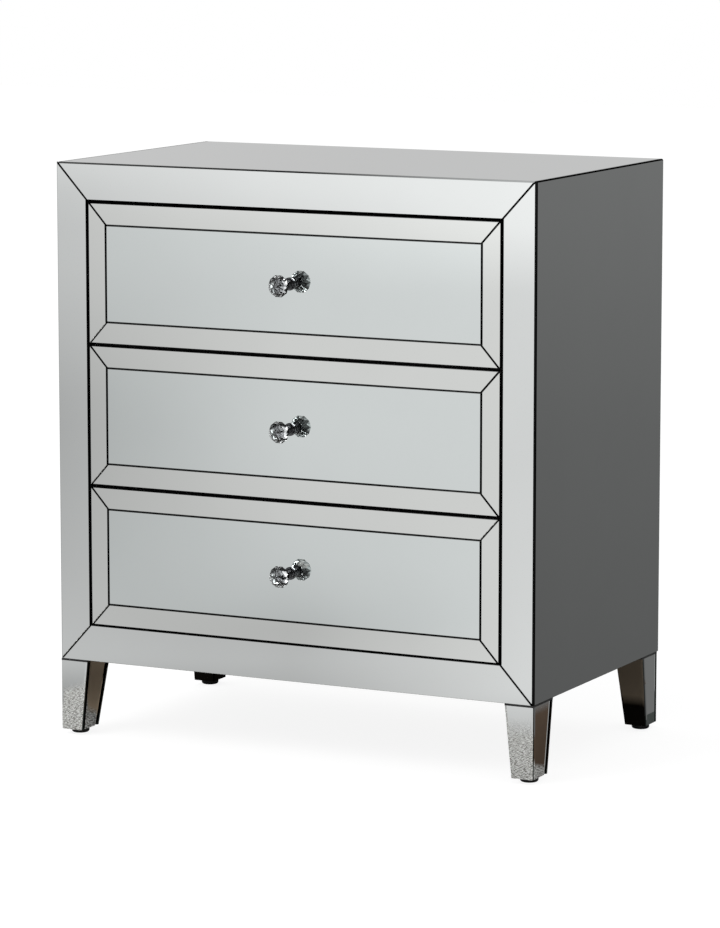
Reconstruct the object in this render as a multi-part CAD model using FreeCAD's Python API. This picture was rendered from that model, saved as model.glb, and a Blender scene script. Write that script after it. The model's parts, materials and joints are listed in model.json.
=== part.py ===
import FreeCAD, Part
import math
import os

# A chest of three equal drawers, faced all over in mirror glass, on four tapered legs.
# Millimetres. +Z is up, the front faces -Y, the floor is z = 0, and the origin lies under
# the middle of the overall box, knobs included.

Vector = FreeCAD.Vector

# Overall sizes
CHEST_WIDTH = 700.0
CHEST_DEPTH = 410.0
LEG_HEIGHT = 97.0
GLIDE_HEIGHT = 7.0

# Front: the mirrored frame and the drawer fronts set flush inside it
DRAWER_NAMES = ("bottom", "middle", "top")
FRONT_HEIGHT = 186.0
FRONT_GAP = 4.3
BOTTOM_GAP = 2.5
SIDE_GAP = 4.0
FRAME_WIDTH = 45.0
FRAME_RAIL = 48.8
BORDER_SIDE = 26.0
BORDER_RAIL = 28.5

# Sheet and board stock
MIRROR = 4.0
MIRROR_ARRIS = 0.5
MIRROR_JOINT = 1.7
UPRIGHT_JOINT = 2.2
CORNER_ARRIS = 1.9
CORNER_JOINT = 0.6
BOARD = 16.0
BACK_BOARD = 5.0
BOX_BOARD = 12.0
BOX_BOTTOM = 5.0

# Drawer boxes
BOX_FLOOR_CLEARANCE = 8.0
BOX_TOP_DROP = 32.0
BOX_BACK_CLEARANCE = 25.0
BOTTOM_LIFT = 10.0
GROOVE_DEPTH = 5.0

# Carcase rails and battens
DIVIDER_DEPTH = 60.0
DIVIDER_SETBACK = 1.0
BATTEN_HEIGHT = 60.0
BATTEN_BACK_CLEARANCE = 8.0

# Telescopic runners: three nested channels
RUNNER_HEIGHT = 45.0
RUNNER_WIDTH = 12.7
RUNNER_GAUGE = 1.2
RUNNER_WEB_GAP = 1.0
RUNNER_CLEARANCE = 0.3
RUNNER_FRONT_SETBACK = 2.0
RUNNER_BACK_CLEARANCE = 20.0

# Legs, measured inwards from their outer corner
LEG_TOP_WIDTH = 40.0
LEG_FOOT_WIDTH = 30.0
LEG_SETBACK = 0.3
LEG_TOP_JOINT = 2.5
LEG_BEVEL_WIDTH = 2.5
LEG_BEVEL_DEPTH = 0.35
FRONT_LEG_TOP_DEPTH = 62.0
FRONT_LEG_FOOT_DEPTH = 46.0
FRONT_LEG_BARE_EDGE = 5.0
REAR_LEG_TOP_DEPTH = 50.0
REAR_LEG_FOOT_DEPTH = 38.0
REAR_LEG_BARE_EDGE = 1.0
REAR_LEG_SETBACK = 4.0

# Glides and leg bolts
GLIDE_RADIUS = 12.0
GLIDE_EDGE_RADIUS = 3.0
GLIDE_NAIL_RADIUS = 2.0
GLIDE_NAIL_LENGTH = 20.0
BOLT_RADIUS = 3.0
BOLT_DEPTH_IN_LEG = 30.0
BOLT_FLANGE_RADIUS = 7.0
BOLT_FLANGE = 1.2
BOLT_HEX_RADIUS = 5.7
BOLT_HEX_HEIGHT = 5.0

# Knob: a turned base that carries a faceted crystal, reaches measured from the back of each
KNOB_BASE_LENGTH = 20.5
KNOB_FLANGE_RADIUS = 8.5
KNOB_FLANGE = 2.0
KNOB_FLANGE_ROUND = 1.0
KNOB_COVE_RADIUS = 6.5
KNOB_COVE_END = 7.0
KNOB_COVE_HOLLOW = 1.0
KNOB_NECK_RADIUS = 4.4
KNOB_BEAD_END = 11.0
KNOB_BEAD_BULGE = 1.8
KNOB_FLARE_START = 12.5
KNOB_FLARE_HOLLOW = 0.8
KNOB_CUP_RADIUS = 7.4
KNOB_CUP = 2.0
CRYSTAL_GLUE = 0.2
CRYSTAL_LENGTH = 20.3
CRYSTAL_SIDES = 10
CRYSTAL_SEAT_RADIUS = 6.5
CRYSTAL_SHOULDER_RADIUS = 11.8
CRYSTAL_SHOULDER_REACH = 5.0
CRYSTAL_RADIUS = 14.8
CRYSTAL_GIRDLE_REACH = 10.0
CRYSTAL_BROW_RADIUS = 11.5
CRYSTAL_BROW_REACH = 16.0
CRYSTAL_TABLE_RADIUS = 7.0
KNOB_SCREW_RADIUS = 2.0
KNOB_SCREW_GRIP = 8.0
KNOB_SCREW_HEAD_RADIUS = 4.0
KNOB_SCREW_HEAD = 2.5
KNOB_MIRROR_HOLE_RADIUS = 3.0

# Screws and pins
SCREW_RADIUS = 1.75
SCREW_HEAD_RADIUS = 3.5
SCREW_FIT = 0.1
RECESS_SPAN = 3.5
RECESS_WIDTH = 0.9
RECESS_DEPTH = 1.1
BACK_SCREW_LENGTH = 22.0
BACK_SCREWS_PER_SIDE = 4
TOP_SCREW_LENGTH = 45.0
TOP_SCREWS_PER_SIDE = 3
BOTTOM_SCREW_LENGTH = 45.0
BOTTOM_SCREWS_PER_SIDE = 2
SCREW_END_MARGIN = 60.0
RUNNER_SCREW_LENGTH = 14.0
RUNNER_SCREW_MARGIN = 40.0
MEMBER_SCREW_LENGTH = 10.0
BOX_SCREW_LENGTH = 32.0
BOX_SCREW_ABOVE_BOTTOM = 10.075
PIN_RADIUS = 3.0
PIN_IN_FRONT = 10.0
PIN_IN_SIDE = 20.0
PIN_ABOVE_BOTTOM = 20.075

# Places worked out from the sizes above
drawer_count = len(DRAWER_NAMES)
knob_projection = KNOB_BASE_LENGTH + CRYSTAL_GLUE + CRYSTAL_LENGTH
front_y = knob_projection - (CHEST_DEPTH + knob_projection) / 2
back_y = front_y + CHEST_DEPTH
frame_y = front_y + MIRROR
inner_y = frame_y + BOARD
back_board_y = back_y - BACK_BOARD
inside_depth = back_board_y - inner_y

half_width = CHEST_WIDTH / 2
core_x = half_width - MIRROR
side_x = core_x - BOARD
opening_x = half_width - FRAME_WIDTH
front_x = opening_x - SIDE_GAP

carcase_z = GLIDE_HEIGHT + LEG_HEIGHT
opening_height = BOTTOM_GAP + drawer_count * (FRONT_HEIGHT + FRONT_GAP)
chest_top_z = carcase_z + 2 * FRAME_RAIL + opening_height
board_top_z = chest_top_z - MIRROR
top_board_z = board_top_z - BOARD

box_lift = BOARD / 2 - FRONT_GAP / 2 + BOX_FLOOR_CLEARANCE
box_height = FRONT_HEIGHT - BOX_TOP_DROP - box_lift
box_x = opening_x - RUNNER_WIDTH
box_inner_x = box_x - BOX_BOARD
box_end_y = inner_y + inside_depth - BOX_BACK_CLEARANCE
runner_start_y = inner_y + RUNNER_FRONT_SETBACK
runner_end_y = inner_y + inside_depth - RUNNER_BACK_CLEARANCE
batten_end_y = inner_y + inside_depth - BATTEN_BACK_CLEARANCE
glass_edge_y = front_y + MIRROR + CORNER_JOINT
leg_plate_top_z = carcase_z - LEG_TOP_JOINT


def drawer_low_z(index):
    return carcase_z + FRAME_RAIL + BOTTOM_GAP + index * (FRONT_HEIGHT + FRONT_GAP)


def runner_z(index):
    return drawer_low_z(index) + box_lift + box_height / 2


def ordered(pair):
    return (min(pair), max(pair))


def spread(low, high, count):
    step = (high - low) / (count - 1)
    return [low + step * i for i in range(count)]


# Basic solids
def box(x, y, z):
    x = ordered(x)
    y = ordered(y)
    z = ordered(z)
    return Part.makeBox(x[1] - x[0], y[1] - y[0], z[1] - z[0], Vector(x[0], y[0], z[0]))


def prism_along_y(outline, y):
    points = [Vector(px, y[0], pz) for px, pz in outline]
    face = Part.Face(Part.makePolygon(points + points[:1]))
    return face.extrude(Vector(0, y[1] - y[0], 0))


def solid_of_faces(point_loops):
    faces = [Part.Face(Part.makePolygon(list(loop) + [loop[0]])) for loop in point_loops]
    solid = Part.makeSolid(Part.makeShell(faces))
    if solid.Volume < 0:
        solid.reverse()
    return solid


def tapered_block(foot, top):
    """Solid between two outlines, each given as the same number of corners in the same order."""
    walls = [(foot[i - 1], foot[i], top[i], top[i - 1]) for i in range(len(foot))]
    return solid_of_faces([foot, top] + walls)


def turned(profile, base, axis, radial):
    """Solid of revolution. Each corner of the profile is (radius, distance along the axis, rise):
    the side that leads to it is straight where the rise is 0, and else bows out by the rise."""
    corners = [base + radial * r + axis * s for r, s, rise in profile]
    sides = []
    for i, (r, s, rise) in enumerate(profile):
        start = corners[i - 1]
        end = corners[i]
        if rise:
            along = end - start
            outwards = radial * along.dot(axis) - axis * along.dot(radial)
            middle = (start + end) / 2 + outwards * (rise / along.Length)
            sides.append(Part.Arc(start, middle, end).toShape())
        else:
            sides.append(Part.makeLine(start, end))
    face = Part.Face(Part.Wire(sides))
    return face.revolve(base, axis, 360).Solids[0]


def quarter_round_rise(radius):
    return radius * (1 - math.sqrt(0.5))


def cut(solid, tools):
    return solid.cut(tools).Solids[0] if tools else solid


def lies_in(edge, axis, level):
    return all(abs(getattr(v.Point, axis) - level) < 1e-6 for v in edge.Vertexes)


def arris(sheet, axis, level, corner=None):
    """Ground edges round the show face of a mirror, the face where axis equals level. The edge on
    an outer corner of the chest, given as another axis and its level, is ground wider."""
    on_face = [edge for edge in sheet.Edges if lies_in(edge, axis, level)]
    if corner is None:
        return sheet.makeChamfer(MIRROR_ARRIS, on_face).Solids[0]
    narrow = [edge for edge in on_face if not lies_in(edge, *corner)]
    ground = sheet.makeChamfer(MIRROR_ARRIS, narrow).Solids[0]
    wide = [edge for edge in ground.Edges if lies_in(edge, axis, level) and lies_in(edge, *corner)]
    return ground.makeChamfer(CORNER_ARRIS, wide).Solids[0]


# Countersunk screws and the holes that they sit in
def screw(point, direction, length, radius=SCREW_RADIUS, head=SCREW_HEAD_RADIUS):
    sink = head - radius
    cone = Part.makeCone(head, radius, sink, point, direction)
    shank = Part.makeCylinder(radius, length - sink, point + direction * sink, direction)
    return cone.fuse(shank).removeSplitter().Solids[0]


def screw_hole(point, direction, length, radius=SCREW_RADIUS, head=SCREW_HEAD_RADIUS):
    return screw(point, direction, length + SCREW_FIT, radius + SCREW_FIT, head + SCREW_FIT)


def cross_recess(point, direction):
    """Cross slot for the driver, sunk into a head whose top is at point."""
    one_way = Vector(direction.y, direction.z, direction.x)
    other_way = Vector(direction.z, direction.x, direction.y)
    slots = []
    for along, aside in ((one_way, other_way), (other_way, one_way)):
        long = along * (RECESS_SPAN / 2)
        wide = aside * (RECESS_WIDTH / 2)
        corners = [point - long - wide, point + long - wide, point + long + wide, point - long + wide]
        outline = Part.Face(Part.makePolygon(corners + corners[:1]))
        slots.append(outline.extrude(direction * RECESS_DEPTH))
    return slots


def placed_screws(places, length, radius=SCREW_RADIUS, head=SCREW_HEAD_RADIUS):
    screws = [cut(screw(p, d, length, radius, head), cross_recess(p, d)) for p, d in places]
    holes = [screw_hole(p, d, length, radius, head) for p, d in places]
    return screws, holes


# Mirror strips round a rectangle, mitred at the corners. The joints are cut out of the level strips,
# so the upright strips fill the corners of the rectangle.
def mitred_strips(x, z, side, rail, corners):
    joint = MIRROR_JOINT * math.hypot(side, rail) / rail
    x0, x1 = x
    z0, z1 = z
    start = x0 + joint
    end = x1 - joint
    outlines = {
        "top": [(start, z1), (end, z1), (end - side, z1 - rail), (start + side, z1 - rail)],
        "bottom": [(start, z0), (end, z0), (end - side, z0 + rail), (start + side, z0 + rail)],
        "left": [(x0, z0), (x0, z1), (x0 + side, z1 - rail), (x0 + side, z0 + rail)],
        "right": [(x1, z0), (x1, z1), (x1 - side, z1 - rail), (x1 - side, z0 + rail)],
    }
    strips = {}
    for name, outline in outlines.items():
        strips[name] = arris(prism_along_y(outline, (front_y, frame_y)), "y", front_y, corners.get(name))
    return strips


# Carcase boards and their screws
def back_screw_places():
    inwards = Vector(0, -1, 0)
    side_mid_x = side_x + BOARD / 2
    heights = spread(carcase_z + SCREW_END_MARGIN, top_board_z - SCREW_END_MARGIN, BACK_SCREWS_PER_SIDE)
    return [(Vector(s * side_mid_x, back_y, z), inwards) for s in (-1, 1) for z in heights]


def top_screw_places():
    down = Vector(0, 0, -1)
    side_mid_x = side_x + BOARD / 2
    depths = spread(inner_y + SCREW_END_MARGIN, back_board_y - SCREW_END_MARGIN, TOP_SCREWS_PER_SIDE)
    return [(Vector(s * side_mid_x, y, board_top_z), down) for s in (-1, 1) for y in depths]


def bottom_screw_places():
    depths = spread(inner_y + SCREW_END_MARGIN, back_board_y - SCREW_END_MARGIN, BOTTOM_SCREWS_PER_SIDE)
    z = carcase_z + BOARD / 2
    return [(Vector(s * core_x, y, z), Vector(-s, 0, 0)) for s in (-1, 1) for y in depths]


def carcase():
    back_screws, back_holes = placed_screws(back_screw_places(), BACK_SCREW_LENGTH)
    top_screws, top_holes = placed_screws(top_screw_places(), TOP_SCREW_LENGTH)
    bottom_screws, bottom_holes = placed_screws(bottom_screw_places(), BOTTOM_SCREW_LENGTH)
    runner_screws, runner_holes = cabinet_runner_screws()
    bolts, bolt_holes = leg_bolts()

    side_y = (inner_y, back_board_y)
    side_z = (carcase_z, top_board_z)
    side_holes = back_holes + top_holes + bottom_holes + runner_holes
    top_board = box((-core_x, core_x), (inner_y, back_y), (top_board_z, board_top_z))
    bottom_board = box((-side_x, side_x), side_y, (carcase_z, carcase_z + BOARD))
    back_board = box((-core_x, core_x), (back_board_y, back_y), side_z)
    nodes = {
        "top_panel": [cut(top_board, top_holes)],
        "bottom_panel": [cut(bottom_board, bottom_holes + bolt_holes)],
        "back_panel": [cut(back_board, back_holes)],
        "left_side_panel": [cut(box((-core_x, -side_x), side_y, side_z), side_holes)],
        "right_side_panel": [cut(box((side_x, core_x), side_y, side_z), side_holes)],
        "carcase_screws": back_screws + top_screws + bottom_screws + runner_screws,
        "leg_bolts": bolts,
        "face_frame": face_frame(),
        "divider_rails": divider_rails(),
        "runner_battens": [cut(batten, runner_holes) for batten in runner_battens()],
        "cabinet_runners": [cut(member, runner_holes) for member in cabinet_runners()],
    }
    return nodes


def face_frame():
    y = (frame_y, inner_y)
    low_rail_z = carcase_z + FRAME_RAIL
    high_rail_z = chest_top_z - FRAME_RAIL
    return [
        box((-core_x, -opening_x), y, (low_rail_z, high_rail_z)),
        box((opening_x, core_x), y, (low_rail_z, high_rail_z)),
        box((-core_x, core_x), y, (carcase_z, low_rail_z)),
        box((-core_x, core_x), y, (high_rail_z, board_top_z)),
    ]


def divider_rails():
    start = inner_y + DIVIDER_SETBACK
    rails = []
    for index in range(1, drawer_count):
        middle = drawer_low_z(index) - FRONT_GAP / 2
        z = (middle - BOARD / 2, middle + BOARD / 2)
        rails.append(box((-side_x, side_x), (start, start + DIVIDER_DEPTH), z))
    return rails


def runner_battens():
    battens = []
    for index in range(drawer_count):
        z = (runner_z(index) - BATTEN_HEIGHT / 2, runner_z(index) + BATTEN_HEIGHT / 2)
        for s in (-1, 1):
            battens.append(box((s * opening_x, s * side_x), (inner_y, batten_end_y), z))
    return battens


# Mirrors on the carcase: the top lies between the front and side mirrors, flush with their edges
def carcase_mirrors():
    glass_y = (glass_edge_y, back_y)
    full_z = (carcase_z, chest_top_z)
    top_x = core_x - CORNER_JOINT
    top = box((-top_x, top_x), glass_y, (board_top_z, chest_top_z))
    left = box((-half_width, -core_x), glass_y, full_z)
    right = box((core_x, half_width), glass_y, full_z)
    corners = {"top": ("z", chest_top_z), "left": ("x", -half_width), "right": ("x", half_width)}
    strips = mitred_strips((-half_width, half_width), full_z, FRAME_WIDTH, FRAME_RAIL, corners)
    nodes = {
        "top_mirror": [arris(top, "z", chest_top_z)],
        "left_side_mirror": [arris(left, "x", -half_width, corners["top"])],
        "right_side_mirror": [arris(right, "x", half_width, corners["top"])],
    }
    for place, strip in strips.items():
        nodes["frame_mirror_" + place] = [strip]
    return nodes


# Runner members: channels along Y, with the web at one x and the lips reaching to another
def channel(web_x, lip_x, half_height, z):
    inwards = math.copysign(RUNNER_GAUGE, lip_x - web_x)
    low = z - half_height
    high = z + half_height
    outline = [
        (web_x, low),
        (lip_x, low),
        (lip_x, low + RUNNER_GAUGE),
        (web_x + inwards, low + RUNNER_GAUGE),
        (web_x + inwards, high - RUNNER_GAUGE),
        (lip_x, high - RUNNER_GAUGE),
        (lip_x, high),
        (web_x, high),
    ]
    return prism_along_y(outline, (runner_start_y, runner_end_y))


runner_lip = RUNNER_WIDTH - RUNNER_GAUGE - RUNNER_WEB_GAP
cabinet_half = RUNNER_HEIGHT / 2
intermediate_half = cabinet_half - RUNNER_GAUGE - RUNNER_CLEARANCE
member_half = intermediate_half - RUNNER_GAUGE - RUNNER_CLEARANCE


def cabinet_runners():
    members = []
    for index in range(drawer_count):
        for s in (-1, 1):
            lip_x = s * (opening_x - runner_lip)
            members.append(channel(s * opening_x, lip_x, cabinet_half, runner_z(index)))
    return members


def intermediate_runners(index):
    web = opening_x - RUNNER_GAUGE - RUNNER_WEB_GAP
    lip = opening_x - runner_lip
    return [channel(s * web, s * lip, intermediate_half, runner_z(index)) for s in (-1, 1)]


def drawer_runners(index):
    lip = opening_x - 2 * (RUNNER_GAUGE + RUNNER_WEB_GAP)
    return [channel(s * box_x, s * lip, member_half, runner_z(index)) for s in (-1, 1)]


def runner_screw_depths():
    return (runner_start_y + RUNNER_SCREW_MARGIN, runner_end_y - RUNNER_SCREW_MARGIN)


def cabinet_runner_screws():
    face_x = opening_x - RUNNER_GAUGE
    places = []
    for index in range(drawer_count):
        for s in (-1, 1):
            for y in runner_screw_depths():
                places.append((Vector(s * face_x, y, runner_z(index)), Vector(s, 0, 0)))
    return placed_screws(places, RUNNER_SCREW_LENGTH, SCREW_RADIUS, SCREW_RADIUS + RUNNER_GAUGE)


def drawer_runner_screws(index):
    face_x = box_x + RUNNER_GAUGE
    places = []
    for s in (-1, 1):
        for y in runner_screw_depths():
            places.append((Vector(s * face_x, y, runner_z(index)), Vector(-s, 0, 0)))
    return placed_screws(places, MEMBER_SCREW_LENGTH, SCREW_RADIUS, SCREW_RADIUS + RUNNER_GAUGE)


# Legs: a tapered core with a bevelled mirror on each face, set just inside the carcase
LEGS = {
    "front_left": (-1, -1, FRONT_LEG_TOP_DEPTH, FRONT_LEG_FOOT_DEPTH, FRONT_LEG_BARE_EDGE),
    "front_right": (1, -1, FRONT_LEG_TOP_DEPTH, FRONT_LEG_FOOT_DEPTH, FRONT_LEG_BARE_EDGE),
    "rear_left": (-1, 1, REAR_LEG_TOP_DEPTH, REAR_LEG_FOOT_DEPTH, REAR_LEG_BARE_EDGE),
    "rear_right": (1, 1, REAR_LEG_TOP_DEPTH, REAR_LEG_FOOT_DEPTH, REAR_LEG_BARE_EDGE),
}
leg_outer_x = half_width - LEG_SETBACK


def leg_outer_y(sy):
    return front_y + LEG_SETBACK if sy < 0 else back_y - REAR_LEG_SETBACK


def leg_block(sx, sy, foot, top, foot_z, top_z):
    """Block whose corners are given by their reach in from the leg's outer side and outer face."""
    ends = []
    for corners, z in ((foot, foot_z), (top, top_z)):
        ends.append([Vector(sx * (leg_outer_x - u), leg_outer_y(sy) - sy * v, z) for u, v in corners])
    return tapered_block(ends[0], ends[1])


def leg_core(sx, sy, top_depth, foot_depth):
    """Core inside the mirror plates, with a cap above them that fills the whole width of the leg."""
    def outline(width, depth, inset):
        far_u = width - inset
        far_v = depth - inset
        return [(inset, inset), (far_u, inset), (far_u, far_v), (inset, far_v)]

    foot = outline(LEG_FOOT_WIDTH, foot_depth, MIRROR)
    top = outline(LEG_TOP_WIDTH, top_depth, MIRROR)
    rim = outline(LEG_TOP_WIDTH, top_depth, 0)
    post = leg_block(sx, sy, foot, top, GLIDE_HEIGHT, carcase_z)
    cap = leg_block(sx, sy, rim, rim, leg_plate_top_z, carcase_z)
    return post.fuse(cap).removeSplitter().Solids[0]


def bevelled_plate(start, end, face, back):
    """Outline of a plate from start to end, with its show face at face and its back at back."""
    sunk = face + math.copysign(LEG_BEVEL_DEPTH, back - face)
    return [
        (start, sunk),
        (start + LEG_BEVEL_WIDTH, face),
        (end - LEG_BEVEL_WIDTH, face),
        (end, sunk),
        (end, back),
        (start, back),
    ]


def leg_plates(sx, sy, top_depth, foot_depth, bare_edge):
    def plates(width, depth):
        far_end = depth - MIRROR - bare_edge
        outer_side = bevelled_plate(MIRROR + CORNER_JOINT, far_end, 0, MIRROR)
        inner_side = bevelled_plate(MIRROR + bare_edge, far_end, width, width - MIRROR)
        return [
            bevelled_plate(0, width, 0, MIRROR),
            bevelled_plate(0, width, depth, depth - MIRROR),
            [(u, v) for v, u in outer_side],
            [(u, v) for v, u in inner_side],
        ]

    rise = (leg_plate_top_z - GLIDE_HEIGHT) / LEG_HEIGHT
    plate_top_width = LEG_FOOT_WIDTH + (LEG_TOP_WIDTH - LEG_FOOT_WIDTH) * rise
    plate_top_depth = foot_depth + (top_depth - foot_depth) * rise
    feet = plates(LEG_FOOT_WIDTH, foot_depth)
    tops = plates(plate_top_width, plate_top_depth)
    return [leg_block(sx, sy, f, t, GLIDE_HEIGHT, leg_plate_top_z) for f, t in zip(feet, tops)]


def glide_centre(sx, sy, foot_depth):
    return Vector(sx * (leg_outer_x - LEG_FOOT_WIDTH / 2), leg_outer_y(sy) - sy * foot_depth / 2, 0)


def glide(centre):
    """Round pad with an eased lower edge, and the nail that holds it in the leg."""
    profile = [
        (0, 0, 0),
        (GLIDE_RADIUS - GLIDE_EDGE_RADIUS, 0, 0),
        (GLIDE_RADIUS, GLIDE_EDGE_RADIUS, quarter_round_rise(GLIDE_EDGE_RADIUS)),
        (GLIDE_RADIUS, GLIDE_HEIGHT, 0),
        (GLIDE_NAIL_RADIUS, GLIDE_HEIGHT, 0),
        (GLIDE_NAIL_RADIUS, GLIDE_HEIGHT + GLIDE_NAIL_LENGTH, 0),
        (0, GLIDE_HEIGHT + GLIDE_NAIL_LENGTH, 0),
    ]
    return turned(profile, centre, Vector(0, 0, 1), Vector(1, 0, 0))


def nail_hole(centre):
    start = centre + Vector(0, 0, GLIDE_HEIGHT)
    return Part.makeCylinder(GLIDE_NAIL_RADIUS + SCREW_FIT, GLIDE_NAIL_LENGTH + SCREW_FIT, start)


def bolt_centre(sx, sy, top_depth):
    """Middle of the leg's top where it lies under the bottom panel."""
    leg_inner_x = leg_outer_x - LEG_TOP_WIDTH + MIRROR
    leg_inner_y = leg_outer_y(sy) - sy * (top_depth - MIRROR)
    core_outer_y = leg_outer_y(sy) - sy * MIRROR
    covered_y = max(core_outer_y, inner_y) if sy < 0 else min(core_outer_y, back_board_y)
    return Vector(sx * (leg_inner_x + side_x) / 2, (leg_inner_y + covered_y) / 2, carcase_z)


def leg_bolt(centre):
    seat = centre + Vector(0, 0, BOARD)
    tip = centre - Vector(0, 0, BOLT_DEPTH_IN_LEG)
    shank = Part.makeCylinder(BOLT_RADIUS, BOLT_DEPTH_IN_LEG + BOARD, tip)
    flange = Part.makeCylinder(BOLT_FLANGE_RADIUS, BOLT_FLANGE, seat)
    head_z = seat + Vector(0, 0, BOLT_FLANGE)
    angles = [math.radians(60 * i) for i in range(6)]
    ring = [head_z + Vector(math.cos(a), math.sin(a), 0) * BOLT_HEX_RADIUS for a in angles]
    hexagon = Part.Face(Part.makePolygon(ring + ring[:1])).extrude(Vector(0, 0, BOLT_HEX_HEIGHT))
    return shank.fuse([flange, hexagon]).removeSplitter().Solids[0]


def bolt_hole(centre):
    tip = centre - Vector(0, 0, BOLT_DEPTH_IN_LEG + SCREW_FIT)
    return Part.makeCylinder(BOLT_RADIUS + SCREW_FIT, BOLT_DEPTH_IN_LEG + BOARD + SCREW_FIT, tip)


def leg_bolts():
    centres = [bolt_centre(sx, sy, depth) for sx, sy, depth, foot, bare in LEGS.values()]
    return [leg_bolt(c) for c in centres], [bolt_hole(c) for c in centres]


def legs():
    nodes = {}
    plates = []
    glides = []
    for place, (sx, sy, top_depth, foot_depth, bare_edge) in LEGS.items():
        foot_centre = glide_centre(sx, sy, foot_depth)
        holes = [nail_hole(foot_centre), bolt_hole(bolt_centre(sx, sy, top_depth))]
        nodes[place + "_leg"] = [cut(leg_core(sx, sy, top_depth, foot_depth), holes)]
        plates.extend(leg_plates(sx, sy, top_depth, foot_depth, bare_edge))
        glides.append(glide(foot_centre))
    nodes["leg_mirrors"] = plates
    nodes["leg_glides"] = glides
    return nodes


# Knob: all of its pieces are turned or ringed about an axis that points out of the front
def knob_axis_point(z):
    return Vector(0, front_y, z)


def knob_base(z):
    bore = KNOB_SCREW_RADIUS + SCREW_FIT
    bore_end = KNOB_SCREW_GRIP + SCREW_FIT
    profile = [
        (bore, 0, 0),
        (KNOB_FLANGE_RADIUS, 0, 0),
        (KNOB_FLANGE_RADIUS, KNOB_FLANGE - KNOB_FLANGE_ROUND, 0),
        (KNOB_FLANGE_RADIUS - KNOB_FLANGE_ROUND, KNOB_FLANGE, quarter_round_rise(KNOB_FLANGE_ROUND)),
        (KNOB_COVE_RADIUS, KNOB_FLANGE, 0),
        (KNOB_NECK_RADIUS, KNOB_COVE_END, -KNOB_COVE_HOLLOW),
        (KNOB_NECK_RADIUS, KNOB_BEAD_END, KNOB_BEAD_BULGE),
        (KNOB_NECK_RADIUS, KNOB_FLARE_START, 0),
        (KNOB_CUP_RADIUS, KNOB_BASE_LENGTH - KNOB_CUP, -KNOB_FLARE_HOLLOW),
        (KNOB_CUP_RADIUS, KNOB_BASE_LENGTH, 0),
        (0, KNOB_BASE_LENGTH, 0),
        (0, bore_end, 0),
        (bore, bore_end, 0),
    ]
    return turned(profile, knob_axis_point(z), Vector(0, -1, 0), Vector(1, 0, 0))


def crystal(z):
    """Cut crystal over a film of glue: five rings of corners, each turned half a step from the last."""
    rings = [
        (CRYSTAL_SEAT_RADIUS, 0),
        (CRYSTAL_SHOULDER_RADIUS, CRYSTAL_SHOULDER_REACH),
        (CRYSTAL_RADIUS, CRYSTAL_GIRDLE_REACH),
        (CRYSTAL_BROW_RADIUS, CRYSTAL_BROW_REACH),
        (CRYSTAL_TABLE_RADIUS, CRYSTAL_LENGTH),
    ]
    seat = knob_axis_point(z) - Vector(0, KNOB_BASE_LENGTH + CRYSTAL_GLUE, 0)
    step = 2 * math.pi / CRYSTAL_SIDES
    corners = []
    for order, (radius, reach) in enumerate(rings):
        turn = step / 2 * (order % 2)
        angles = [turn + step * i for i in range(CRYSTAL_SIDES)]
        ring = [seat + Vector(radius * math.cos(a), -reach, radius * math.sin(a)) for a in angles]
        corners.append(ring)
    loops = [corners[0], corners[-1]]
    for order in range(len(rings) - 1):
        near = corners[order]
        far = corners[order + 1]
        lead = order % 2
        for i in range(CRYSTAL_SIDES):
            after = (i + 1) % CRYSTAL_SIDES
            loops.append((near[i], near[after], far[(i + lead) % CRYSTAL_SIDES]))
            loops.append((far[i], far[after], near[(i + 1 - lead) % CRYSTAL_SIDES]))
    return solid_of_faces(loops)


def knob_screw(z):
    head_start = Vector(0, inner_y, z)
    out = Vector(0, -1, 0)
    head_top = head_start - out * KNOB_SCREW_HEAD
    head = Part.makeCylinder(KNOB_SCREW_HEAD_RADIUS, KNOB_SCREW_HEAD, head_top, out)
    shank = Part.makeCylinder(KNOB_SCREW_RADIUS, BOARD + MIRROR + KNOB_SCREW_GRIP, head_start, out)
    whole = head.fuse(shank).removeSplitter().Solids[0]
    return cut(whole, cross_recess(head_top, out))


# Drawers
def drawer_mirrors(low, knob_z):
    x = (-front_x, front_x)
    z = (low, low + FRONT_HEIGHT)
    joint_x = UPRIGHT_JOINT / 2
    joint_z = MIRROR_JOINT / 2
    borders = mitred_strips(x, z, BORDER_SIDE - joint_x, BORDER_RAIL - joint_z, {})
    panel_x = front_x - BORDER_SIDE - joint_x
    panel_z = (low + BORDER_RAIL + joint_z, low + FRONT_HEIGHT - BORDER_RAIL - joint_z)
    panel = arris(box((-panel_x, panel_x), (front_y, frame_y), panel_z), "y", front_y)
    hole = Part.makeCylinder(KNOB_MIRROR_HOLE_RADIUS, MIRROR, Vector(0, front_y, knob_z), Vector(0, 1, 0))
    return cut(panel, [hole]), list(borders.values())


def box_rises(above_bottom):
    """Two heights in a drawer box: one above its bottom, the other as far from the upper edge."""
    margin = BOTTOM_LIFT + BOX_BOTTOM + above_bottom
    return (margin, box_height - margin)


def front_pins(box_z):
    """Pins that join the front board to the ends of the box sides."""
    mid_x = box_x - BOX_BOARD / 2
    start = inner_y - PIN_IN_FRONT
    length = PIN_IN_FRONT + PIN_IN_SIDE
    along = Vector(0, 1, 0)
    points = [Vector(s * mid_x, start, box_z + d) for s in (-1, 1) for d in box_rises(PIN_ABOVE_BOTTOM)]
    pins = [Part.makeCylinder(PIN_RADIUS, length, p, along) for p in points]
    back_off = along * SCREW_FIT
    hole_length = length + 2 * SCREW_FIT
    holes = [Part.makeCylinder(PIN_RADIUS + SCREW_FIT, hole_length, p - back_off, along) for p in points]
    return pins, holes


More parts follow.
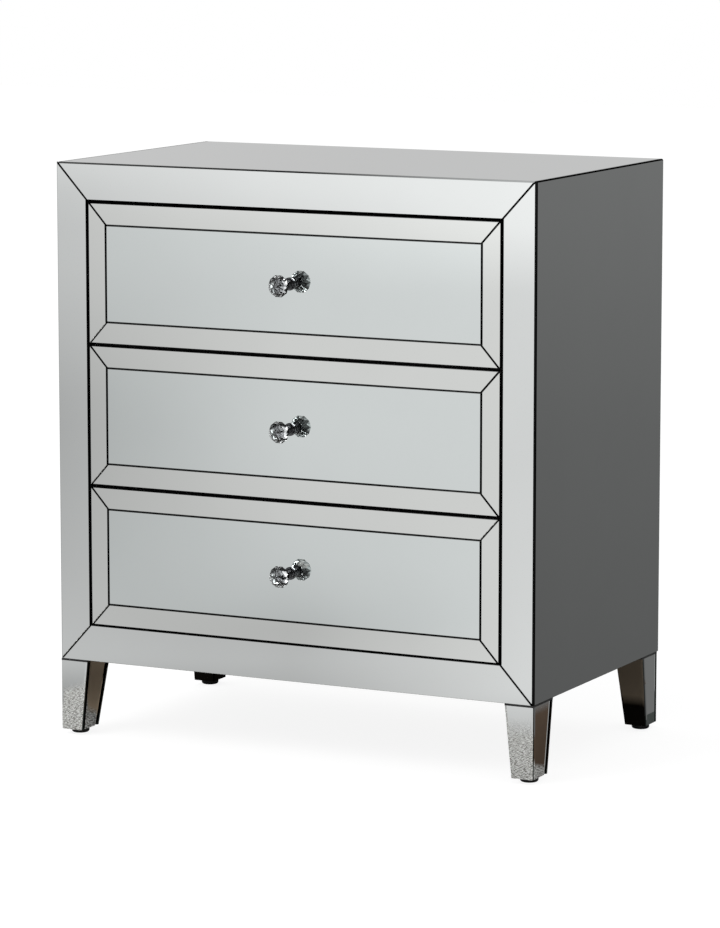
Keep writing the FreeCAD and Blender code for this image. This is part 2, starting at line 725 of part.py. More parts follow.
def box_screws(box_z):
    mid_y = box_end_y - BOX_BOARD / 2
    rises = box_rises(BOX_SCREW_ABOVE_BOTTOM)
    places = [(Vector(s * box_x, mid_y, box_z + d), Vector(-s, 0, 0)) for s in (-1, 1) for d in rises]
    return placed_screws(places, BOX_SCREW_LENGTH)


def drawer(index):
    low = drawer_low_z(index)
    knob_z = low + FRONT_HEIGHT / 2
    box_z = low + box_lift
    box_top = box_z + box_height
    floor_z = (box_z + BOTTOM_LIFT, box_z + BOTTOM_LIFT + BOX_BOTTOM)

    pins, pin_holes = front_pins(box_z)
    screws, screw_holes = box_screws(box_z)
    member_screws, member_holes = drawer_runner_screws(index)
    knob_hole = Part.makeCylinder(
        KNOB_SCREW_RADIUS + SCREW_FIT, BOARD, Vector(0, frame_y, knob_z), Vector(0, 1, 0)
    )
    floor_x = box_inner_x + GROOVE_DEPTH
    floor = box((-floor_x, floor_x), (inner_y - GROOVE_DEPTH, box_end_y), floor_z)

    front = box((-front_x, front_x), (frame_y, inner_y), (low, low + FRONT_HEIGHT))
    side_y = (inner_y, box_end_y)
    left = box((-box_x, -box_inner_x), side_y, (box_z, box_top))
    right = box((box_inner_x, box_x), side_y, (box_z, box_top))
    back_y_range = (box_end_y - BOX_BOARD, box_end_y)
    back = box((-box_inner_x, box_inner_x), back_y_range, (floor_z[1], box_top))
    side_tools = [floor] + pin_holes + screw_holes + member_holes
    centre, borders = drawer_mirrors(low, knob_z)

    prefix = DRAWER_NAMES[index] + "_drawer_"
    return {
        prefix + "front": [cut(front, [floor, knob_hole] + pin_holes)],
        prefix + "centre_mirror": [centre],
        prefix + "border_mirrors": borders,
        prefix + "left_side": [cut(left, side_tools)],
        prefix + "right_side": [cut(right, side_tools)],
        prefix + "back": [cut(back, screw_holes)],
        prefix + "bottom": [floor],
        prefix + "knob_crystal": [crystal(knob_z)],
        prefix + "knob_base": [knob_base(knob_z)],
        prefix + "fasteners": [knob_screw(knob_z)] + pins + screws + member_screws,
        prefix + "runners": [cut(member, member_holes) for member in drawer_runners(index)],
        prefix + "runner_intermediates": intermediate_runners(index),
    }


def write_parts(nodes):
    os.makedirs("parts", exist_ok=True)
    for name, solids in nodes.items():
        shape = solids[0] if len(solids) == 1 else Part.makeCompound(solids)
        shape.exportStep(os.path.join("parts", name + ".step"))


all_nodes = {}
all_nodes.update(carcase())
all_nodes.update(carcase_mirrors())
all_nodes.update(legs())
for drawer_index in range(drawer_count):
    all_nodes.update(drawer(drawer_index))
write_parts(all_nodes)
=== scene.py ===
import json
import math

import bpy
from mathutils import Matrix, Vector


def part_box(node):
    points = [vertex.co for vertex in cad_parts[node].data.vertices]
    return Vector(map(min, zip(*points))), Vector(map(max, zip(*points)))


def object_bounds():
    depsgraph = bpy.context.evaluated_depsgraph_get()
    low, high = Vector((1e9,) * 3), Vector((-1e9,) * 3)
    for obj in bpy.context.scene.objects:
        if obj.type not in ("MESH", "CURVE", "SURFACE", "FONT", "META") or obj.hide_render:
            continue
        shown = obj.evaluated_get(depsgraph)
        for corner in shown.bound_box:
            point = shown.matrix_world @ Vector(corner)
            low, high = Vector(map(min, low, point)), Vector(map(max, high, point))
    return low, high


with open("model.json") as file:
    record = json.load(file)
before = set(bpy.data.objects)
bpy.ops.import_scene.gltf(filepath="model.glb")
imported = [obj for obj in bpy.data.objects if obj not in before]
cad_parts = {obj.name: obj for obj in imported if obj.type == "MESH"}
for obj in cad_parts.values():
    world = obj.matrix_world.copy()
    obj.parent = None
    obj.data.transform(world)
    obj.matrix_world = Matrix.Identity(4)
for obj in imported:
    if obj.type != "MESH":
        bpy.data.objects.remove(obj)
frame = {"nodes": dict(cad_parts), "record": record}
CAD_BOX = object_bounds()

# A mirrored chest of three drawers in a pale studio. Metres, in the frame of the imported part:
# +Z up, the front faces -Y, the floor is z = 0. Colours and lights are red, green and blue: a colour
# stays within 0 to 1, and a light may be stronger.

HALF_WIDTH = CAD_BOX[1].x
REAR_Y = CAD_BOX[1].y
FRONT_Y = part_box("frame_mirror_top")[0].y

# Camera of the photograph: a long lens, to the right of the front and a little above it.
# Turn and tilt are in degrees, the lens and its sensor in millimetres.
CAMERA_PLACE = (2.5404, -4.997, 1.2176)
CAMERA_TURN = 26.868
CAMERA_TILT = 8.617
CAMERA_LENS = 163.75
CAMERA_SENSOR = 36.0
CAMERA_REACH = 100.0

# Legs: mirror plates of this thickness on a core that gets deeper from its foot to its top.
# Its depths are at the foot and at the top. The front and rear faces of a leg lie within the show depth
# of its front and rear ends.
GLASS = 0.004
SHOW_DEPTH = GLASS / 4
FOOT_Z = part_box("leg_mirrors")[0].z
LEG_RISE = 0.097
FRONT_LEG_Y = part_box("leg_mirrors")[0].y
REAR_LEG_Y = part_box("leg_mirrors")[1].y
FRONT_LEG_DEPTHS = (0.046, 0.062)
REAR_LEG_DEPTHS = (0.038, 0.050)

# Sockets of the Mix node, which share their names, so they go by number
MIX_FACTOR = 0
MIX_NUMBERS = (2, 3)
MIX_COLOURS = (6, 7)
MIXED_COLOUR = 2


def rgba(colour):
    return (*colour, 1.0)


def grey(level):
    return (level, level, level)


def dimmed(colour, share):
    return tuple(channel * share for channel in colour)


class Tree:
    """Adds nodes to a material's or world's tree and links them by socket name or number."""

    def __init__(self, tree):
        self.tree = tree
        tree.nodes.clear()

    def add(self, kind, inputs=None, **settings):
        node = self.tree.nodes.new("ShaderNode" + kind)
        for key, value in settings.items():
            setattr(node, key, value)
        for key, value in (inputs or {}).items():
            self.put(node.inputs[key], value)
        return node

    def put(self, socket, value):
        """Links the output of another node to the socket, or sets a colour or number on it."""
        if isinstance(value, bpy.types.NodeSocket):
            self.tree.links.new(value, socket)
        elif socket.type == "RGBA":
            socket.default_value = rgba(value)
        else:
            socket.default_value = value

    def axes(self, vector):
        return self.add("SeparateXYZ", {"Vector": vector}).outputs

    def math(self, operation, a, b=0.0):
        return self.add("Math", {0: a, 1: b}, operation=operation).outputs[0]

    def minus(self, a, b):
        return self.math("SUBTRACT", a, b)

    def over(self, value, limit):
        return self.math("GREATER_THAN", value, limit)

    def under(self, value, limit):
        return self.math("LESS_THAN", value, limit)

    def both(self, a, b):
        return self.math("MULTIPLY", a, b)

    def either(self, a, b):
        return self.math("MAXIMUM", a, b)

    def range(self, value, low, high, to_low=0.0, to_high=1.0):
        inputs = {"Value": value, "From Min": low, "From Max": high, "To Min": to_low, "To Max": to_high}
        return self.add("MapRange", inputs).outputs["Result"]

    def fall(self, value, low, high):
        return self.range(value, low, high, to_low=1.0, to_high=0.0)

    def band(self, value, start, full, end, none):
        """One within the band and zero outside it, with a fade at each side."""
        return self.both(self.range(value, start, full), self.fall(value, end, none))

    def blend(self, factor, a, b):
        inputs = {MIX_FACTOR: factor, MIX_NUMBERS[0]: a, MIX_NUMBERS[1]: b}
        return self.add("Mix", inputs, data_type="FLOAT").outputs[0]

    def mix(self, factor, a, b, blend_type="MIX"):
        node = self.add("Mix", data_type="RGBA", blend_type=blend_type)
        self.put(node.inputs[MIX_FACTOR], factor)
        self.put(node.inputs[MIX_COLOURS[0]], a)
        self.put(node.inputs[MIX_COLOURS[1]], b)
        return node.outputs[MIXED_COLOUR]

    def times(self, a, b):
        return self.mix(1.0, a, b, blend_type="MULTIPLY")

    def ramp(self, factor, stops, interpolation):
        node = self.add("ValToRGB", {"Fac": factor})
        node.color_ramp.interpolation = interpolation
        elements = node.color_ramp.elements
        while len(elements) < len(stops):
            elements.new(0.5)
        for element, (place, colour) in zip(elements, stops):
            element.position = place
            element.color = rgba(colour)
        return node.outputs["Color"]

    def noise(self, vector, scale, detail, roughness=0.5):
        inputs = {"Vector": vector, "Scale": scale, "Detail": detail, "Roughness": roughness}
        return self.add("TexNoise", inputs).outputs["Fac"]

    def stretched(self, vector, share_along_y):
        """The point with a smaller Y, so that a pattern on it runs long along Y."""
        return self.add("Mapping", {"Vector": vector, "Scale": (1.0, share_along_y, 1.0)}).outputs[0]

    def bump(self, height, strength, distance):
        return self.add("Bump", {"Height": height, "Strength": strength, "Distance": distance}).outputs[0]


# Materials. Where a finish has two colours, it drifts from one to the other.
FRAME_TINT = (0.80, 0.82, 0.815)
BORDER_TINT = (0.795, 0.81, 0.795)
PANEL_TINT = (0.78, 0.82, 0.815)
GLASS_EDGE = (0.02, 0.032, 0.03)
GLASS_ARRIS = (0.70, 0.72, 0.715)
EDGE_SHEEN = grey(0.2)
TOP_SHEEN = grey(1.0)
BLACK_PAINT = ((0.010, 0.010, 0.011), (0.018, 0.018, 0.019))
HARDBOARD = ((0.020, 0.020, 0.020), (0.034, 0.033, 0.032))
HARDBOARD_FIBRE = (0.05, 0.048, 0.045)
PINE = ((0.50, 0.33, 0.17), (0.66, 0.48, 0.29))
DARK_FOIL = ((0.075, 0.075, 0.078), (0.115, 0.115, 0.12))
FLOCK = ((0.018, 0.018, 0.020), (0.034, 0.034, 0.037))
RUNNER_ZINC = (0.66, 0.67, 0.69)
SCREW_ZINC = (0.62, 0.61, 0.58)
# Chrome darkened well below its own colour: painted shade standing in for the dark reflections on the knob
# necks
CHROME_PAINTED_DARK = ((0.12, 0.123, 0.13), (0.10, 0.103, 0.108))
CRYSTAL = ((0.97, 0.985, 0.985), (0.95, 0.97, 0.98))
GLIDE_BLACK = (grey(0.010), grey(0.022))

# Shares of brightness that smears and dull patches keep
MIRROR_SMEAR = 0.985
LEG_SMEAR = 0.97
DULL_ZINC = 0.86

# A surface counts as facing a way when at least this share of its normal points that way
FACE_SHARE = 0.95
ARRIS_SHARE = 0.5
LEG_FACE_SHARE = 0.7

MIRROR_ROUGHNESS = 0.03
CRYSTAL_IOR = 1.55
GRAIN_STRETCH = 0.06
RING_SCALE_SHARE = 0.12
DRAWING_STRETCH = 0.02

FRONT = (0.0, -1.0, 0.0)
UP = (0.0, 0.0, 1.0)
LEFT = (-1.0, 0.0, 0.0)
RIGHT = (1.0, 0.0, 0.0)


def new_material(name, values):
    """A Principled material, with plain values set on the shader's own sockets."""
    material = bpy.data.materials.new(name)
    material.use_nodes = True
    tree = Tree(material.node_tree)
    surface = tree.add("BsdfPrincipled", values)
    output = tree.add("OutputMaterial")
    tree.put(output.inputs["Surface"], surface.outputs[0])
    return material, tree, surface


def object_point(tree):
    return tree.add("TexCoord").outputs["Object"]


def true_normal(tree):
    return tree.add("NewGeometry").outputs["True Normal"]


def mirror_material(name, tint, axis, sheen=EDGE_SHEEN, ground=GLASS_ARRIS):
    """Silvered glass: the show face faces along axis, and the cut edges show the dark glass.
    The sheen is the tint of the reflection at a grazing angle, and ground that of the arrises."""
    values = {"Metallic": 1.0, "Roughness": MIRROR_ROUGHNESS, "Specular Tint": sheen}
    material, tree, surface = new_material(name, values)
    point = object_point(tree)
    smear = tree.noise(point, scale=9.0, detail=4.0, roughness=0.6)
    face = tree.mix(tree.range(smear, low=0.35, high=0.7), tint, dimmed(tint, MIRROR_SMEAR))
    sockets = {0: true_normal(tree), 1: axis}
    facing = tree.add("VectorMath", sockets, operation="DOT_PRODUCT").outputs["Value"]
    edge = tree.mix(tree.over(facing, ARRIS_SHARE), GLASS_EDGE, ground)
    tree.put(surface.inputs["Base Color"], tree.mix(tree.over(facing, FACE_SHARE), edge, face))
    wave = tree.noise(point, scale=2.5, detail=1.0)
    tree.put(surface.inputs["Normal"], tree.bump(wave, strength=0.02, distance=0.01))
    return material


def leg_mirror_material():
    """Mirror plates of the legs. Their ground edges, and the ends of the side plates, are dark."""
    values = {"Metallic": 1.0, "Roughness": MIRROR_ROUGHNESS}
    material, tree, surface = new_material("leg_mirror", values)
    point = object_point(tree)
    place = tree.axes(point)
    up = tree.math("DIVIDE", tree.minus(place["Z"], FOOT_Z), LEG_RISE)
    rear = tree.over(place["Y"], 0.0)
    front_depth = tree.range(up, 0.0, 1.0, *FRONT_LEG_DEPTHS)
    rear_depth = tree.range(up, 0.0, 1.0, *REAR_LEG_DEPTHS)
    depth = tree.blend(rear, front_depth, rear_depth)
    reach = tree.blend(rear, tree.minus(place["Y"], FRONT_LEG_Y), tree.minus(REAR_LEG_Y, place["Y"]))
    nearest = tree.math("MINIMUM", reach, tree.minus(depth, reach))
    facing = tree.axes(tree.add("VectorMath", {0: true_normal(tree)}, operation="ABSOLUTE").outputs[0])
    side_face = tree.both(tree.over(facing["X"], LEG_FACE_SHARE), tree.over(nearest, GLASS))
    show_face = tree.both(tree.over(facing["Y"], LEG_FACE_SHARE), tree.under(nearest, SHOW_DEPTH))
    smear = tree.noise(point, scale=20.0, detail=4.0, roughness=0.6)
    silver = tree.mix(smear, FRAME_TINT, dimmed(FRAME_TINT, LEG_SMEAR))
    face = tree.either(side_face, show_face)
    tree.put(surface.inputs["Base Color"], tree.mix(face, GLASS_EDGE, silver))
    return material


def painted_board():
    """Satin black paint on fibreboard."""
    material, tree, surface = new_material("black_board", {"Roughness": 0.42})
    point = object_point(tree)
    cloud = tree.noise(point, scale=14.0, detail=3.0)
    tree.put(surface.inputs["Base Color"], tree.mix(cloud, *BLACK_PAINT))
    peel = tree.noise(point, scale=420.0, detail=2.0)
    tree.put(surface.inputs["Normal"], tree.bump(peel, strength=0.08, distance=0.0004))
    return material


def back_board():
    """Thin hardboard, matt black, with the faint mottling of pressed fibre."""
    material, tree, surface = new_material("hardboard", {"Roughness": 0.7})
    point = object_point(tree)
    cloud = tree.noise(point, scale=7.0, detail=4.0)
    board = tree.mix(cloud, *HARDBOARD)
    fibre = tree.noise(point, scale=260.0, detail=5.0, roughness=0.7)
    pale_fibre = tree.range(fibre, low=0.55, high=0.75)
    tree.put(surface.inputs["Base Color"], tree.mix(pale_fibre, board, HARDBOARD_FIBRE))
    tree.put(surface.inputs["Normal"], tree.bump(fibre, strength=0.25, distance=0.0004))
    return material


def wood(name, colours, grain_scale, grain_bump):
    """Straight grain along Y, with broad rings in the darker colour."""
    dark, light = colours
    material, tree, surface = new_material(name, {"Roughness": 0.5})
    along = tree.stretched(object_point(tree), GRAIN_STRETCH)
    fine = tree.noise(along, grain_scale, detail=6.0, roughness=0.65)
    rings = tree.noise(along, grain_scale * RING_SCALE_SHARE, detail=2.0)
    grain = tree.mix(tree.range(fine, low=0.35, high=0.68), dark, light)
    broad = tree.range(rings, low=0.3, high=0.7, to_high=0.35)
    tree.put(surface.inputs["Base Color"], tree.mix(broad, grain, dark))
    tree.put(surface.inputs["Normal"], tree.bump(fine, grain_bump, distance=0.0005))
    return material


def flock():
    """Black flocked lining of the drawer bottoms."""
    material, tree, surface = new_material("box_bottom", {"Roughness": 0.95, "Sheen Weight": 0.4})
    point = object_point(tree)
    brushed = tree.noise(point, scale=12.0, detail=3.0)
    tree.put(surface.inputs["Base Color"], tree.mix(brushed, *FLOCK))
    pile = tree.noise(point, scale=900.0, detail=3.0, roughness=0.7)
    tree.put(surface.inputs["Normal"], tree.bump(pile, strength=0.5, distance=0.0008))
    return material


def plated_steel(name, colour, roughness):
    """Zinc plated sheet with drawing marks along Y."""
    material, tree, surface = new_material(name, {"Metallic": 1.0, "Roughness": roughness})
    point = object_point(tree)
    cloud = tree.noise(point, scale=40.0, detail=3.0)
    tree.put(surface.inputs["Base Color"], tree.mix(cloud, colour, dimmed(colour, DULL_ZINC)))
    lines = tree.noise(tree.stretched(point, DRAWING_STRETCH), scale=900.0, detail=2.0)
    tree.put(surface.inputs["Normal"], tree.bump(lines, strength=0.1, distance=0.0002))
    return material


def chrome():
    """Polished chrome of the knob bases. Its colour is darkened far below chrome's own, as painted shade
    for the dark room that the necks reflect.
    """
    material, tree, surface = new_material("chrome", {"Metallic": 1.0, "Roughness": 0.06})
    cloud = tree.noise(object_point(tree), scale=180.0, detail=3.0)
    tree.put(surface.inputs["Base Color"], tree.mix(cloud, *CHROME_PAINTED_DARK))
    return material


def crystal():
    """Clear cut glass of the knobs."""
    values = {"Roughness": 0.0, "IOR": CRYSTAL_IOR, "Transmission Weight": 1.0}
    material, tree, surface = new_material("crystal", values)
    cloud = tree.noise(object_point(tree), scale=60.0, detail=2.0)
    tree.put(surface.inputs["Base Color"], tree.mix(cloud, *CRYSTAL))
    return material


def glide_plastic():
    """Moulded black plastic with a fine grain."""
    material, tree, surface = new_material("glide_plastic", {"Roughness": 0.48})
    grain = tree.noise(object_point(tree), scale=700.0, detail=3.0)
    tree.put(surface.inputs["Base Color"], tree.mix(grain, *GLIDE_BLACK))
    tree.put(surface.inputs["Normal"], tree.bump(grain, strength=0.3, distance=0.0003))
    return material


slot_material = {
    "black_board": painted_board(),
    "hardboard": back_board(),
    "pine": wood("pine", PINE, grain_scale=160.0, grain_bump=0.15),
    "box_ply": wood("box_ply", DARK_FOIL, grain_scale=300.0, grain_bump=0.2),
    "box_bottom": flock(),
    "runner_steel": plated_steel("runner_steel", RUNNER_ZINC, roughness=0.32),
    "zinc_steel": plated_steel("zinc_steel", SCREW_ZINC, roughness=0.3),
    "chrome": chrome(),
    "crystal": crystal(),
    "glide_plastic": glide_plastic(),
    "frame_mirror": mirror_material("frame_mirror", FRAME_TINT, FRONT),
    "border_mirror": mirror_material("border_mirror", BORDER_TINT, FRONT),
    "panel_mirror": mirror_material("panel_mirror", PANEL_TINT, FRONT),
}
node_material = {
    "top_mirror": mirror_material("top_mirror", FRAME_TINT, UP, sheen=TOP_SHEEN),
    "left_side_mirror": mirror_material("left_mirror", FRAME_TINT, LEFT, ground=GLASS_EDGE),
    "right_side_mirror": mirror_material("right_mirror", FRAME_TINT, RIGHT, ground=GLASS_EDGE),
    "leg_mirrors": leg_mirror_material(),
}


def dress_nodes():
    """Gives every node the material of its slot, or its own where the way it faces matters."""
    for part in frame["record"]["subparts"]:
        node = frame["nodes"][part["node"]]
        slot = part["material_slot"]
        material = node_material.get(part["node"], slot_material[slot])
        node.data.materials.clear()
        node.data.materials.append(material)


# Studio: white to the camera, with a soft surround that the mirrors show. Turns are in degrees round
# the object, from the front to its right, and heights in degrees above the horizon.

# Light that mirrors and metal see, by turn
RING = (
    (-180, 0.60), (-153, 0.573), (-140, 0.65), (-125, 1.2), (-105, 1.2), (-80, 0.75), (-40, 1.0), (40, 0.9),
    (52, 0.7), (58, 0.012), (72, 0.012), (80, 0.45), (120, 0.25), (145, 0.15), (155, 0.177), (157, 0.212),
    (164, 0.24), (169, 0.55), (180, 0.60),
)
# The share of it that is left by height: behind the object, and before it towards three turns
RISE_BEHIND = (
    (-90, 0.50), (-30, 0.55), (-14, 0.80), (-11.5, 0.84), (-8, 1.0), (-4.6, 1.3), (-3, 1.25), (2, 1.0),
    (90, 1.0),
)
HIGH_BEFORE = (
    (0, 0.70), (6, 0.20), (36, 0.14), (46, 0.015), (62.2, 0.015), (63.4, 0.5), (65, 0.8), (90, 0.8),
)
RISE_LEFT = (
    (-90, 0.22), (-30, 0.30), (-22, 0.38), (-11.5, 0.38), (-11.3, 0.64), (-9.8, 0.54), (-7.9, 0.48),
    (-6.0, 0.65), (-5.1, 0.66), (-4.5, 0.80),
) + HIGH_BEFORE
RISE_MIDDLE = (
    (-90, 0.22), (-30, 0.30), (-22, 0.45), (-11.7, 0.50), (-11.3, 0.60), (-10.8, 0.56), (-10.1, 0.69),
    (-8.1, 0.77), (-6.2, 0.77), (-5.2, 0.86), (-4.7, 1.0),
) + HIGH_BEFORE
RISE_RIGHT = (
    (-90, 0.22), (-30, 0.30), (-22, 0.56), (-12.0, 0.66), (-11.8, 0.84), (-10.4, 0.81), (-8.4, 0.79),
    (-6.3, 0.82), (-5.4, 1.06), (-4.7, 1.09),
) + HIGH_BEFORE
TURN_LEFT = -31.0
TURN_MIDDLE = -27.8
TURN_RIGHT = -24.6

# Areas of the surround. Four numbers are a fade in over the first two and a fade out over the last two.
# Going up, the low grey fades out over its two heights and the high grey fades in.
FRONT_TURNS = (-100, -80, 80, 100)
LOW_TURNS = (95, 115, 164, 170)
LOW_FADE = (-17.0, -13.0)
LOW_GREY = (0.24, 0.24, 0.235)
HIGH_FADE = (16.0, 30.0)
HIGH_GREY = grey(0.50)
SOFTBOX_TURNS = (-20, -16, 16, 20)
SOFTBOX_HEIGHTS = (22, 24, 30, 32)
SOFTBOX_LIGHT = grey(12.0)

# What the crystals see: light cards against a dark room, by turn and by height
CARDS_ROUND = (
    (-180, 0.4), (-150, 0.01), (-34, 1.0), (12, 0.3), (22, 0.9), (34, 0.01), (100, 0.4), (130, 0.01),
)
CARDS_HIGH = ((-90, 0.01), (-20, 1.6), (-10, 0.8), (-5, 0.03), (2, 1.8), (16, 0.01))

# What the camera sees, and the light on plain surfaces
BACKGROUND_WHITE = grey(1.0)
PLAIN_LIGHT = grey(0.75)


def turn_places(turns):
    return [(turn + 180.0) / 360.0 for turn in turns]


def height_places(heights):
    return [(math.sin(math.radians(height)) + 1.0) / 2.0 for height in heights]


class Sky(Tree):
    """Tree of the world, with light by turn round the object and by height."""

    def __init__(self, tree):
        super().__init__(tree)
        axes = self.axes(self.add("TexCoord").outputs["Generated"])
        turn = self.math("ARCTAN2", axes["X"], self.math("MULTIPLY", axes["Y"], -1.0))
        self.turn = self.range(turn, -math.pi, math.pi)
        self.height = self.range(axes["Z"], -1.0, 1.0)

    def by_turn(self, stops, interpolation="LINEAR"):
        turns, levels = zip(*stops)
        return self.ramp(self.turn, list(zip(turn_places(turns), map(grey, levels))), interpolation)

    def by_height(self, stops, interpolation="LINEAR"):
        heights, levels = zip(*stops)
        return self.ramp(self.height, list(zip(height_places(heights), map(grey, levels))), interpolation)

    def sector(self, turns):
        return self.band(self.turn, *turn_places(turns))

    def layer(self, heights):
        return self.band(self.height, *height_places(heights))

    def past(self, start, full):
        return self.range(self.turn, *turn_places((start, full)))


def light_before(sky):
    """Share of the light before the object, by height, with a drift from left to right."""
    light = sky.mix(sky.past(TURN_LEFT, TURN_MIDDLE), sky.by_height(RISE_LEFT), sky.by_height(RISE_MIDDLE))
    return sky.mix(sky.past(TURN_MIDDLE, TURN_RIGHT), light, sky.by_height(RISE_RIGHT))


def mirror_surround(sky):
    """Bright in front with a softbox above, grey behind to the left and dark behind to the right."""
    in_front = sky.sector(FRONT_TURNS)
    share = sky.mix(in_front, sky.by_height(RISE_BEHIND), light_before(sky))
    light = sky.times(sky.by_turn(RING), share)
    low_right = sky.both(sky.sector(LOW_TURNS), sky.fall(sky.height, *height_places(LOW_FADE)))
    light = sky.mix(low_right, light, LOW_GREY)
    high = sky.range(sky.height, *height_places(HIGH_FADE))
    light = sky.mix(sky.both(high, sky.minus(1.0, in_front)), light, HIGH_GREY)
    softbox = sky.both(sky.sector(SOFTBOX_TURNS), sky.layer(SOFTBOX_HEIGHTS))
    return sky.mix(softbox, light, SOFTBOX_LIGHT)


def studio_world():
    """White behind the object. Mirrors and metal see the surround, and crystals see the cards."""
    world = bpy.data.worlds.new("studio")
    world.use_nodes = True
    bpy.context.scene.world = world
    sky = Sky(world.node_tree)
    cards = sky.times(sky.by_turn(CARDS_ROUND, "CONSTANT"), sky.by_height(CARDS_HIGH, "CONSTANT"))
    path = sky.add("LightPath").outputs
    plain = sky.mix(path["Is Camera Ray"], PLAIN_LIGHT, BACKGROUND_WHITE)
    shown = sky.mix(path["Is Glossy Ray"], plain, mirror_surround(sky))
    colour = sky.mix(path["Is Transmission Ray"], shown, cards)
    background = sky.add("Background", {"Color": colour, "Strength": 1.0})
    output = sky.add("OutputWorld")
    sky.put(output.inputs["Surface"], background.outputs[0])


# The floor as the camera sees it
FLOOR_HALF = 12.0
FLOOR_GREY = grey(0.2)
FLOOR_GLOW = 0.88

# The floor as mirrors see it near the object: a speckled rug before it and a little way under it
RUG_BEFORE = 0.37
RUG_UNDER = 0.125
RUG_ASIDE = 0.16
RUG_FADE = 0.03
RUG_FRONT_FADE = 0.12
RUG_DARK = (0.20, 0.185, 0.17)
RUG_PALE = (0.95, 0.94, 0.92)

# Boards under the object, from pale on the left to dark on the right, with a shadow painted in black by the
# rear legs
BOARDS_LEFT = 0.10
BOARDS_RIGHT = 0.205
BOARDS_BEHIND = 0.25
BOARDS_PALE = (0.74, 0.57, 0.41)
BOARDS_DARK = (0.17, 0.135, 0.10)
BOARDS_PAINTED_SHADOW = (0.006, 0.005, 0.004)
SHADOW_X = 0.22
SHADOW_Y = 0.08

# Right of the object the boards are brown past a slanted line, and shaded by the rear leg
BOARDS_START = -0.14
BOARDS_SLANT = 0.33
BOARDS_BROWN = (0.13, 0.09, 0.065)
SHADE_ASIDE = 0.04
SHADE_START = 0.17
BOARDS_SHADE = (0.10, 0.11, 0.105)


def pale_floor(tree, path):
    """Shader of the floor for the camera: white, with a soft shadow of the object."""
    shaded = tree.add("BsdfDiffuse", {"Color": FLOOR_GREY})
    strength = tree.math("MULTIPLY", path["Is Camera Ray"], FLOOR_GLOW)
    glow = tree.add("Emission", {"Color": BACKGROUND_WHITE, "Strength": strength})
    return tree.add("AddShader", {0: shaded.outputs[0], 1: glow.outputs[0]}).outputs[0]


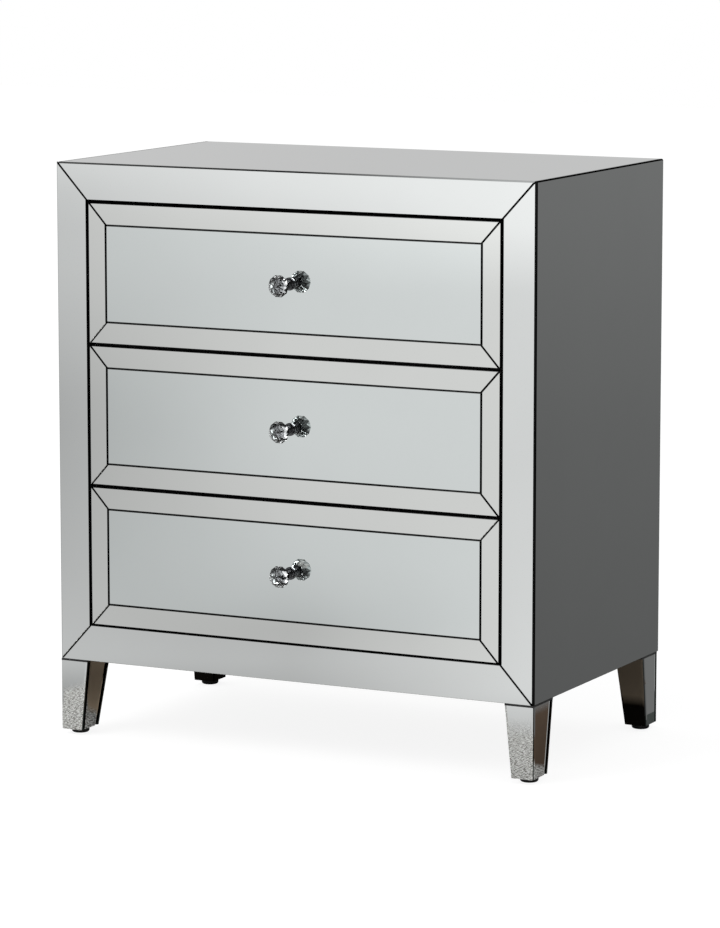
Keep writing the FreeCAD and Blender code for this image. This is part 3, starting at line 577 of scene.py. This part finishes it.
def mirrored_floor(tree):
    """Shader of the floor for mirrors: rug and boards, and further out nothing but the surround."""
    place = tree.add("NewGeometry").outputs["Position"]
    spot = tree.axes(place)

    def between(value, low, high, low_fade=RUG_FADE):
        return tree.band(value, low, low + low_fade, high - RUG_FADE, high)

    rug_reach = HALF_WIDTH + RUG_ASIDE
    rug_end = FRONT_Y + RUG_UNDER
    on_rug = tree.both(
        between(spot["X"], -rug_reach, rug_reach),
        between(spot["Y"], FRONT_Y - RUG_BEFORE, rug_end, RUG_FRONT_FADE),
    )
    speckle = tree.noise(place, scale=300.0, detail=2.0, roughness=0.6)
    pile = tree.mix(tree.range(speckle, low=0.45, high=0.56), RUG_DARK, RUG_PALE)

    boards = tree.mix(tree.range(spot["X"], -HALF_WIDTH, HALF_WIDTH), BOARDS_PALE, BOARDS_DARK)
    # Painted shadow under the object round the rear legs: the boards turn black there
    painted_shadow_by_rear_leg = tree.both(
        tree.range(tree.math("ABSOLUTE", spot["X"]), SHADOW_X, SHADOW_X + RUG_FADE),
        tree.range(spot["Y"], SHADOW_Y, SHADOW_Y + RUG_FADE),
    )
    boards = tree.mix(painted_shadow_by_rear_leg, boards, BOARDS_PAINTED_SHADOW)

    aside = tree.minus(spot["X"], HALF_WIDTH)
    in_shade = tree.both(tree.under(aside, SHADE_ASIDE), tree.over(spot["Y"], SHADE_START))
    right_boards = tree.mix(in_shade, BOARDS_BROWN, BOARDS_SHADE)
    boards = tree.mix(tree.over(aside, 0.0), boards, right_boards)
    slant = tree.math("MULTIPLY", tree.minus(spot["Y"], BOARDS_START), BOARDS_SLANT)
    on_right = tree.either(tree.over(aside, slant), in_shade)
    within = tree.both(
        between(spot["X"], -HALF_WIDTH - BOARDS_LEFT, HALF_WIDTH + BOARDS_RIGHT),
        between(spot["Y"], FRONT_Y, REAR_Y + BOARDS_BEHIND),
    )
    on_boards = tree.both(within, tree.either(tree.under(aside, 0.0), on_right))

    past_rug = tree.range(spot["Y"], rug_end - RUG_FADE, rug_end)
    cover = tree.add("BsdfDiffuse", {"Color": tree.mix(past_rug, pile, boards)})
    clear = tree.add("BsdfTransparent")
    sockets = {0: tree.either(on_rug, on_boards), 1: clear.outputs[0], 2: cover.outputs[0]}
    return tree.add("MixShader", sockets).outputs[0]


def studio_floor():
    """Pale floor for the camera, and the rug and boards for mirrors."""
    bpy.ops.mesh.primitive_plane_add(size=2 * FLOOR_HALF)
    floor = bpy.context.object
    floor.name = "studio_floor"
    material = bpy.data.materials.new("studio_floor")
    material.use_nodes = True
    tree = Tree(material.node_tree)
    path = tree.add("LightPath").outputs
    sockets = {0: path["Is Glossy Ray"], 1: pale_floor(tree, path), 2: mirrored_floor(tree)}
    whole = tree.add("MixShader", sockets)
    output = tree.add("OutputMaterial")
    tree.put(output.inputs["Surface"], whole.outputs[0])
    floor.data.materials.append(material)


# Soft lamp from the front left, which mirrors and crystals don't show
LAMP_PLACE = (-1.6, -2.4, 3.2)
LAMP_TARGET = (0.0, 0.0, 0.4)
LAMP_SIZE = 2.2
LAMP_POWER = 60.0


def key_lamp():
    lamp = bpy.data.lights.new("key", "AREA")
    lamp.shape = "SQUARE"
    lamp.size = LAMP_SIZE
    lamp.energy = LAMP_POWER
    holder = bpy.data.objects.new("key", lamp)
    holder.location = LAMP_PLACE
    holder.rotation_euler = (Vector(LAMP_TARGET) - Vector(LAMP_PLACE)).to_track_quat("-Z", "Y").to_euler()
    holder.visible_glossy = False
    holder.visible_transmission = False
    bpy.context.scene.collection.objects.link(holder)


def photo_camera():
    """Camera at the photograph's viewing angle."""
    data = bpy.data.cameras.new("camera")
    data.lens = CAMERA_LENS
    data.sensor_width = CAMERA_SENSOR
    data.clip_end = CAMERA_REACH
    camera = bpy.data.objects.new("camera", data)
    camera.location = CAMERA_PLACE
    camera.rotation_euler = (math.radians(90.0 - CAMERA_TILT), 0.0, math.radians(CAMERA_TURN))
    bpy.context.scene.collection.objects.link(camera)
    bpy.context.scene.camera = camera


dress_nodes()
studio_world()
studio_floor()
key_lamp()
photo_camera()
bpy.context.scene.view_settings.view_transform = "Standard"
